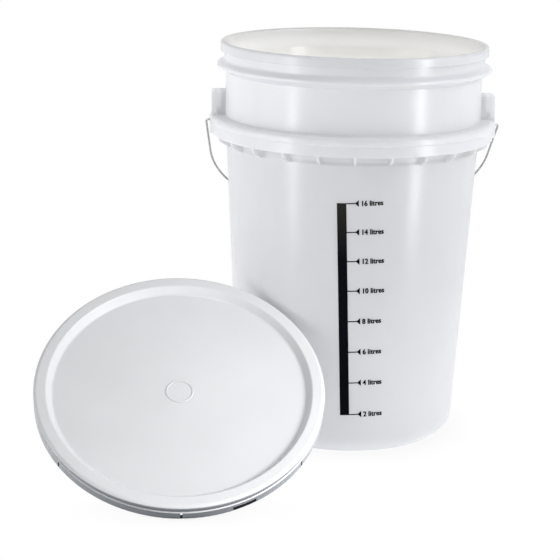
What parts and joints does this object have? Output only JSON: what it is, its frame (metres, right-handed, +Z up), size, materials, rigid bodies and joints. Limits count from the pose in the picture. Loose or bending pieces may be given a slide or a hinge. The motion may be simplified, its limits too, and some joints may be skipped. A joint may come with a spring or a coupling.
{
  "type": "plastic fermenting bucket",
  "caption": "Tapered plastic brewing bucket with a printed litre scale, gusseted collar, wire bail with a turning grip, and a push-fit lid with a sealing ring, taken off and leaning beside it.",
  "frame": {"origin": "centre of the flat hub under the bucket, in the plane the bucket stands on", "axes": "+Z up along the bucket's axis; the two ears lie on the X axis; the printed scale faces -Y; the bail hangs towards +Y"},
  "size_m": [0.5222, 0.5075, 0.46],
  "materials": {
    "natural_plastic": "translucent natural polyethylene, satin",
    "black_ink": "screen print, satin",
    "white_plastic": "opaque white polyethylene, satin",
    "seal_rubber": "soft, matt",
    "galvanised_wire": "zinc plated wire",
    "grip_plastic": "moulded, satin"
  },
  "bodies": {
    "bucket_body": {"bucket": "natural_plastic", "printed_scale": "black_ink"},
    "bail": {"bail_wire": "galvanised_wire"},
    "grip": {"bail_grip": "grip_plastic"},
    "lid_body": {"lid": "white_plastic", "lid_gasket": "seal_rubber"}
  },
  "joints": [
    {"name": "bail_swing", "type": "hinge", "parent": "bucket_body", "child": "bail", "pos_m": [0, 0, 0.367], "axis": [1, 0, 0], "range_deg": [0, 265]},
    {"name": "grip_spin", "type": "hinge", "parent": "bail", "child": "grip", "pos_m": [0, 0.14928, 0.23021], "axis": [1, 0, 0], "continuous": true},
    {"name": "lid_lift", "type": "slide", "parent": "bucket_body", "child": "lid_body", "axis": [0.03, -0.5728, 0.8192], "range_m": [0, 0.25]}
  ]
}
